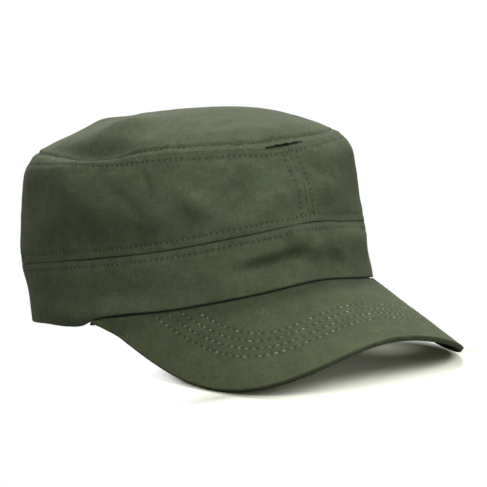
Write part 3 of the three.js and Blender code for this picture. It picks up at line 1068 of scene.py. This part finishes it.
def add(tree, kind, inputs=(), **settings):
    """A new node with its settings and inputs"""
    node = tree.nodes.new("ShaderNode" + kind)
    for name, value in settings.items():
        setattr(node, name, value)
    fill(tree, node, inputs)
    return node


def maths(tree, operation, *values):
    """The result of an operation on values or sockets"""
    return add(tree, "Math", enumerate(values), operation=operation).outputs[0]


def mixed(tree, factor, a, b, blend="MIX"):
    """One colour laid over another by a factor"""
    inputs = {MIX["factor"]: factor, MIX["a"]: a, MIX["b"]: b}
    return add(tree, "Mix", inputs, data_type="RGBA", blend_type=blend).outputs[MIX["result"]]


def noise(tree, vector, scale, detail=2.0, roughness=0.5):
    """A random pattern"""
    inputs = {"Vector": vector, "Scale": scale, "Detail": detail, "Roughness": roughness}
    return add(tree, "TexNoise", inputs).outputs[0]


def ranged(tree, value, low, high, to_low, to_high):
    """A value whose range from low to high is moved to another range"""
    inputs = {"Value": value, "From Min": low, "From Max": high, "To Min": to_low, "To Max": to_high}
    return add(tree, "MapRange", inputs).outputs[0]


def shader_group(name, inputs, outputs):
    """An empty node group with named sockets"""
    group = bpy.data.node_groups.new(name, "ShaderNodeTree")
    for socket_name, kind, value in inputs:
        socket = group.interface.new_socket(socket_name, in_out="INPUT", socket_type="NodeSocket" + kind)
        if value is not None:
            socket.default_value = value
    for socket_name, kind in outputs:
        group.interface.new_socket(socket_name, in_out="OUTPUT", socket_type="NodeSocket" + kind)
    return group, group.nodes.new("NodeGroupInput").outputs, group.nodes.new("NodeGroupOutput").inputs


def weighted(tree, a, weight_a, b, weight_b):
    """The sum of two values, each times its weight"""
    return maths(tree, "ADD", maths(tree, "MULTIPLY", a, weight_a), maths(tree, "MULTIPLY", b, weight_b))


# The twill: the pitch and slant of its ridges, the share of its height that the ridges and the yarns across
# them make, how the yarns cross, and how finely the thick places of the two yarns are drawn out
TWILL = {
    "pitch": 0.0011,
    "slant": 56,
    "ridge": 0.7,
    "cross": 0.3,
    "stagger": 0.5,
    "crossings": 0.8,
    "wander": 350,
    "warp": (2200, 90, 1),
    "weft": (110, 2200, 1),
}


def twill_weave():
    """Slanting ridges of a twill, broken up by the yarns that cross them, as a height, and uneven yarns"""
    group, given, made = shader_group(
        "twill_weave",
        [("Cloth", "Vector", None), ("Pitch", "Float", TWILL["pitch"]), ("Wander", "Float", 0.5)],
        [("Height", "Float"), ("Slub", "Float")],
    )
    slant = math.radians(TWILL["slant"])
    x, y, _ = add(group, "SeparateXYZ", {0: given["Cloth"]}).outputs
    across = weighted(group, y, math.cos(slant), x, -math.sin(slant))
    along = weighted(group, x, math.cos(slant), y, math.sin(slant))
    wander = maths(group, "MULTIPLY", noise(group, given["Cloth"], TWILL["wander"]), given["Wander"])
    turns = maths(group, "ADD", maths(group, "DIVIDE", across, given["Pitch"]), wander)
    ridge = maths(group, "SINE", maths(group, "MULTIPLY", turns, 2 * math.pi))
    stagger = maths(group, "MULTIPLY", turns, TWILL["stagger"])
    crossing = maths(group, "ADD", maths(group, "DIVIDE", along, given["Pitch"]), stagger)
    cross = maths(group, "SINE", maths(group, "MULTIPLY", crossing, 2 * math.pi * TWILL["crossings"]))
    ridge = ranged(group, ridge, -1, 1, 0, TWILL["ridge"])
    cross = ranged(group, cross, -1, 1, 0, TWILL["cross"])
    group.links.new(maths(group, "ADD", ridge, cross), made["Height"])
    slubs = []
    for yarn in ("warp", "weft"):
        drawn_out = add(group, "Mapping", {"Vector": given["Cloth"], "Scale": TWILL[yarn]}).outputs[0]
        slubs.append(noise(group, drawn_out, 1.0, 1.0))
    group.links.new(weighted(group, slubs[0], 0.5, slubs[1], 0.5), made["Slub"])
    return group


# The cotton's random patterns. scale, detail and roughness say how fine each one is, low and high which
# part of it counts, and from and to what that part becomes.
CLOUDS = table(
    "pattern  scale  detail  roughness  low  high  from  to",
    ("deeper", 45, 3.0, 0.5, 0.35, 0.65, 0, 0.3),
    ("faded", 110, 3.0, 0.6, 0.42, 0.72, 0, 0.4),
    ("hue", 130, 2.0, 0.6, 0.36, 0.64, 0, 1),
    ("grain", 900, 2.0, 0.7, 0.30, 0.70, -0.16, 0.16),
    ("mottle", 320, 2.0, 0.6, 0.35, 0.65, 0.94, 1.06),
    ("rubbed", 400, 2.0, 0.5, 0.40, 0.65, 0, 0.55),
)
COOL_TINT = (0.98, 1.0, 1.05, 1)
WARM_TINT = (1.03, 0.995, 0.95, 1)
# The near black of painted shade
PAINTED_SHADE_DARK = (0.006, 0.007, 0.004, 1)
GREY = (0.1, 0.1, 0.1, 1)


def washed_cotton():
    """Dyed cotton: patches of deeper and more faded colour, grain and rubbed edges, with painted shade in
    the weave's valleys, at the needle holes and wherever the mesh marks it
    """
    group, given, made = shader_group(
        "washed_cotton",
        [
            ("Place", "Vector", None),
            ("Dye", "Color", GREY),
            ("Deep", "Color", GREY),
            ("Faded", "Color", GREY),
            ("Slub", "Float", 0.5),
            ("Height", "Float", 0.5),
            ("Wear", "Float", 0.0),
            ("Shade", "Float", 0.0),
        ],
        [("Color", "Color")],
    )
    cloud = {}
    for row in CLOUDS:
        drift = noise(group, given["Place"], row["scale"], row["detail"], row["roughness"])
        cloud[row["pattern"]] = ranged(group, drift, row["low"], row["high"], row["from"], row["to"])
    color = mixed(group, cloud["deeper"], given["Dye"], given["Deep"])
    color = mixed(group, cloud["faded"], color, given["Faded"])
    tint = mixed(group, cloud["hue"], COOL_TINT, WARM_TINT)
    color = mixed(group, 1.0, color, tint, "MULTIPLY")
    slub = ranged(group, given["Slub"], 0.35, 0.65, -0.10, 0.10)
    # Painted shade and light of the weave: its valleys darker and its ridges lighter
    ridge = ranged(group, given["Height"], 0, 1, -0.17, 0.13)
    yarn = maths(group, "ADD", cloud["grain"], slub)
    tone = maths(group, "ADD", yarn, maths(group, "ADD", ridge, cloud["mottle"]))
    tone = add(group, "CombineXYZ", {0: tone, 1: tone, 2: tone}).outputs[0]
    color = mixed(group, 1.0, color, tone, "MULTIPLY")
    rubbed = maths(group, "MULTIPLY", given["Wear"], cloud["rubbed"])
    color = mixed(group, rubbed, color, given["Faded"])
    # Painted shade: towards near black where the mesh marks it, at needle holes, seams, the gap and the
    # peak
    color = mixed(group, given["Shade"], color, PAINTED_SHADE_DARK)
    group.links.new(color, made["Color"])
    return group


def fibre_fuzz():
    """Height of the loose fibres on matt cloth or thread"""
    group, given, made = shader_group(
        "fibre_fuzz", [("Place", "Vector", None), ("Fineness", "Float", 1500.0)], [("Height", "Float")]
    )
    group.links.new(noise(group, given["Place"], given["Fineness"], 3.0, 0.7), made["Height"])
    return group


WEAVE, COTTON, FUZZ = twill_weave(), washed_cotton(), fibre_fuzz()


def new_material(name):
    """A material with its node tree and its shader"""
    material = bpy.data.materials.new(name)
    material.use_nodes = True
    return material, material.node_tree, material.node_tree.nodes["Principled BSDF"]


def marked(tree, name):
    """The value that a mesh holds at each vertex under a name"""
    return add(tree, "Attribute", attribute_name=name).outputs["Fac"]


def fabric(name, dye, deep, faded, relief=0.00012):
    """Matt cotton twill"""
    material, tree, shader = new_material(name)
    place = add(tree, "TexCoord").outputs
    weave = {"Cloth": place["UV"], "Pitch": TWILL["pitch"], "Wander": 0.6}
    weave = add(tree, "Group", weave, node_tree=WEAVE).outputs
    cotton = {
        "Place": place["Object"],
        "Dye": dye,
        "Deep": deep,
        "Faded": faded,
        "Slub": weave["Slub"],
        "Height": weave["Height"],
        "Wear": marked(tree, "wear"),
        "Shade": marked(tree, "shade"),
    }
    cotton = add(tree, "Group", cotton, node_tree=COTTON).outputs
    fuzz = add(tree, "Group", {"Place": place["Object"], "Fineness": 1400.0}, node_tree=FUZZ).outputs
    height = weighted(tree, weave["Height"], 0.65, fuzz["Height"], 0.5)
    bump = add(tree, "Bump", {"Strength": 0.5, "Distance": relief, "Height": height})
    finish = {
        "Base Color": cotton["Color"],
        "Roughness": ranged(tree, fuzz["Height"], 0.3, 0.7, 0.82, 0.96),
        "Normal": bump.outputs[0],
        "Specular IOR Level": 0.25,
        "Sheen Weight": 0.1,
        "Sheen Roughness": 0.5,
        "Sheen Tint": (0.75, 0.8, 0.66, 1),
    }
    fill(tree, shader, finish)
    return material


def sewing_thread(name, color, faded):
    """Cotton thread, paler in some stitches than in others: partly faded thread, partly painted glints"""
    material, tree, shader = new_material(name)
    place = add(tree, "TexCoord").outputs["Object"]
    # Paler stitches at random: partly faded thread, partly painted glints
    spread = ranged(tree, noise(tree, place, 1500, 2.0), 0.3, 0.7, -0.2, 0.2)
    lightness = maths(tree, "ADD", maths(tree, "POWER", marked(tree, "tone"), 1.6), spread)
    fuzz = add(tree, "Group", {"Place": place, "Fineness": 3500.0}, node_tree=FUZZ).outputs
    bump = add(tree, "Bump", {"Strength": 0.6, "Distance": 0.0001, "Height": fuzz["Height"]})
    finish = {
        "Base Color": mixed(tree, lightness, color, faded),
        "Roughness": ranged(tree, fuzz["Height"], 0.3, 0.7, 0.6, 0.8),
        "Normal": bump.outputs[0],
        "Sheen Weight": 0.15,
    }
    fill(tree, shader, finish)
    return material


# The olive of the cloth and of the thread. The thread's faded colours also paint glints on some stitches.
DYE = (0.103, 0.131, 0.066, 1)
DEEP = (0.070, 0.095, 0.050, 1)
FADED = (0.150, 0.177, 0.100, 1)
PEAK_DYE = (0.096, 0.122, 0.057, 1)
PEAK_FADED = (0.145, 0.170, 0.088, 1)
SEAM_THREAD = (0.09, 0.115, 0.065, 1)
SEAM_THREAD_FADED_GLINT = (0.19, 0.215, 0.145, 1)
PEAK_THREAD = (0.13, 0.155, 0.09, 1)
PEAK_THREAD_FADED_GLINT = (0.44, 0.46, 0.33, 1)
crown_twill = fabric("crown_twill", DYE, DEEP, FADED)
band_twill = fabric("band_twill", DYE, DEEP, FADED)
peak_twill = fabric("peak_twill", PEAK_DYE, DEEP, PEAK_FADED, relief=0.00009)
seam_thread = sewing_thread("seam_thread", SEAM_THREAD, SEAM_THREAD_FADED_GLINT)
peak_thread = sewing_thread("peak_thread", PEAK_THREAD, PEAK_THREAD_FADED_GLINT)


def settle(piece, material, slot, *nodes):
    """Gives a piece its material and its place in the frame"""
    piece.data.materials.clear()
    piece.data.materials.append(material)
    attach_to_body(piece, "root")
    if nodes:
        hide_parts(*nodes)


# The pieces
right, right_rows = side_panel("crown_panel_right", -1, 100)
left, left_rows = side_panel("crown_panel_left", 1, 200)
top, top_rows = top_panel(300)
band, band_rows = band_panel(400)
peak, peak_rows = peak_panel(500)
settle(right, crown_twill, "crown_twill", "crown_side_right")
settle(left, crown_twill, "crown_twill", "crown_side_left")
settle(top, crown_twill, "crown_twill", "crown_top")
settle(band, band_twill, "band_twill", "band")
settle(peak, peak_twill, "peak_twill", "peak")
settle(stitches("stitches_crown", right_rows + left_rows + top_rows), seam_thread, "thread")
settle(stitches("stitches_band", band_rows), seam_thread, "thread")
settle(stitches("stitches_peak", peak_rows), peak_thread, "thread")


# Floor, light and camera. The floor is over-exposed: it is seen brighter than it lights the cap. Away
# from the peak it is plain white. Beside the peak's arch, in an oval round middle, it keeps the cap's soft
# shadow with painted light and shade on it: its colour is tinted olive as painted light thrown back from
# the cap, a painted shadow is deepest along one line below the edge, the core, a faint painted glow lifts
# the shadow, and a patch of painted light lies behind the core.
FLOOR = {
    "size": 16,
    "lighting": (0.12, 0.12, 0.115, 1),
    "seen": (0.86, 0.90, 0.77, 1),
    "doublings": 2,
    "painted_glow": (0.022, 0.023, 0.011, 1),
    "middle": (-0.005, -0.088, 0),
    "reach": (0.088, 0.065, 1),
    "fade": (0.9, 1.15),
    "core": -0.098,
    "core_reach": 0.049,
    "core_share": 0.25,
    "patch": (0.053, -0.067, 0),
    "patch_reach": 0.022,
    "patch_light": 0.20,
}


def shadow_color(tree, place):
    """Colour of the floor by the peak's arch: tinted olive as painted light thrown back from the cap, with
    a painted shadow that is darker towards the line below the edge
    """
    ahead = add(tree, "SeparateXYZ", {0: place}).outputs[1]
    from_core = maths(tree, "ABSOLUTE", maths(tree, "SUBTRACT", ahead, FLOOR["core"]))
    share = ranged(tree, from_core, 0, FLOOR["core_reach"], FLOOR["core_share"], 1)
    share = add(tree, "CombineXYZ", {0: share, 1: share, 2: share}).outputs[0]
    return mixed(tree, 1.0, FLOOR["seen"], share, "MULTIPLY")


def past_shadow(tree, place):
    """0 in the oval by the peak's arch and 1 outside it, where the floor is plain white"""
    away = add(tree, "VectorMath", {0: place, 1: FLOOR["middle"]}, operation="SUBTRACT").outputs[0]
    away = add(tree, "VectorMath", {0: away, 1: FLOOR["reach"]}, operation="DIVIDE").outputs[0]
    away = add(tree, "VectorMath", {0: away}, operation="LENGTH").outputs["Value"]
    return ranged(tree, away, *FLOOR["fade"], 0, 1)


def pale_floor():
    """The floor, with its own looks for the camera"""
    bpy.ops.mesh.primitive_plane_add(size=FLOOR["size"])
    floor = bpy.context.active_object
    floor.name = "floor"
    material, tree, shader = new_material("pale_floor")
    tree.nodes.remove(shader)
    lighting = add(tree, "BsdfDiffuse", {"Color": FLOOR["lighting"]}).outputs[0]
    place = add(tree, "TexCoord").outputs["Object"]
    # What the camera sees: the floor's own shading, tinted olive and darkened by the painted shadow
    seen = add(tree, "BsdfDiffuse", {"Color": shadow_color(tree, place)}).outputs[0]
    for _ in range(FLOOR["doublings"]):
        seen = add(tree, "AddShader", {0: seen, 1: seen}).outputs[0]
    # A faint painted glow that lifts the shadow, and behind the core a patch of painted light
    painted_glow = add(tree, "Emission", {"Color": FLOOR["painted_glow"]}).outputs[0]
    seen = add(tree, "AddShader", {0: seen, 1: painted_glow}).outputs[0]
    away = add(tree, "VectorMath", {0: place, 1: FLOOR["patch"]}, operation="DISTANCE").outputs["Value"]
    light = ranged(tree, away, 0, FLOOR["patch_reach"], FLOOR["patch_light"], 0)
    patch = add(tree, "Emission", {"Color": FLOOR["seen"], "Strength": light}).outputs[0]
    seen = add(tree, "AddShader", {0: seen, 1: patch}).outputs[0]
    white = add(tree, "Emission").outputs[0]
    seen = add(tree, "MixShader", {0: past_shadow(tree, place), 1: seen, 2: white}).outputs[0]
    by_camera = add(tree, "LightPath").outputs["Is Camera Ray"]
    chosen = add(tree, "MixShader", {0: by_camera, 1: lighting, 2: seen}).outputs[0]
    tree.links.new(chosen, tree.nodes["Material Output"].inputs["Surface"])
    floor.data.materials.append(material)


# A white background that is seen in full and lights the cap only a little
SKY_LIGHT = 0.02


def studio_world():
    """The white background"""
    world = bpy.data.worlds.new("studio")
    bpy.context.scene.world = world
    world.use_nodes = True
    tree = world.node_tree
    seen = add(tree, "LightPath").outputs["Is Camera Ray"]
    strength = ranged(tree, seen, 0, 1, SKY_LIGHT, 1.0)
    fill(tree, tree.nodes["Background"], {"Color": (1, 1, 1, 1), "Strength": strength})


# Soft lamps round the cap. Their azimuth is 0 in front and 90 at the wearer's left.
LAMPS = table(
    "name  azimuth  elevation  power",
    ("high_rear_left", 141, 62, 16.6),
    ("right", -75, 35, 8.7),
    ("front_left", 33, 35, 6.9),
    ("front", -3, 35, 8.0),
    ("rear_left", 141, 35, 5.5),
    ("low_back", 177, 12, 5.4),
    ("low_rear_left", 141, 12, 4.6),
    ("low_front", -3, 12, 4.0),
    ("left", 69, 35, 0.7),
    ("low_rear_right", -147, 12, 0.9),
)
LAMP_SIZE = 1.0
LAMP_DISTANCE = 1.8
LAMP_TARGET = Vector((0, 0, 0.05))


def away_from_cap(azimuth, elevation):
    """Unit vector from the cap towards a lamp or the camera, whose azimuth is 0 in front"""
    a, e = math.radians(azimuth), math.radians(elevation)
    return Vector((math.sin(a) * math.cos(e), -math.cos(a) * math.cos(e), math.sin(e)))


def soft_lamp(name, azimuth, elevation, power):
    """A broad round lamp that faces the cap"""
    data = bpy.data.lights.new(name, "AREA")
    data.shape = "DISK"
    data.size = LAMP_SIZE
    data.energy = power
    lamp = bpy.data.objects.new(name, data)
    away = away_from_cap(azimuth, elevation)
    lamp.location = LAMP_TARGET + away * LAMP_DISTANCE
    lamp.rotation_euler = away.to_track_quat("Z", "Y").to_euler()
    bpy.context.scene.collection.objects.link(lamp)


# The camera looks at a point beside the head's axis, at a height above the floor. right and up are that
# point's offsets in the picture.
CAMERA = {
    "azimuth": -38.8,
    "elevation": 10.9,
    "roll": 0.26,
    "distance": 1.44,
    "lens": 198.0,
    "right": 0.02308,
    "up": -0.00159,
    "height": 0.05,
}


def camera():
    """The view of the photo"""
    a = math.radians(CAMERA["azimuth"])
    away = away_from_cap(CAMERA["azimuth"], CAMERA["elevation"])
    right_hand = Vector((math.cos(a), math.sin(a), 0))
    up = away.cross(right_hand)
    target = right_hand * CAMERA["right"] + up * CAMERA["up"]
    target = target + Vector((0, 0, CAMERA["height"])) + Vector(HEAD_AXIS)
    roll = math.radians(CAMERA["roll"])
    across = right_hand * math.cos(roll) + up * math.sin(roll)
    upright = up * math.cos(roll) - right_hand * math.sin(roll)
    data = bpy.data.cameras.new("camera")
    data.lens = CAMERA["lens"]
    data.sensor_width = 36
    data.clip_start = 0.05
    data.clip_end = 50
    viewer = bpy.data.objects.new("camera", data)
    turn = Matrix((across, upright, away)).transposed().to_4x4()
    viewer.matrix_world = Matrix.Translation(target + away * CAMERA["distance"]) @ turn
    bpy.context.scene.collection.objects.link(viewer)
    bpy.context.scene.camera = viewer


pale_floor()
studio_world()
for lamp in LAMPS:
    soft_lamp(**lamp)
camera()
bpy.context.scene.view_settings.view_transform = "Standard"
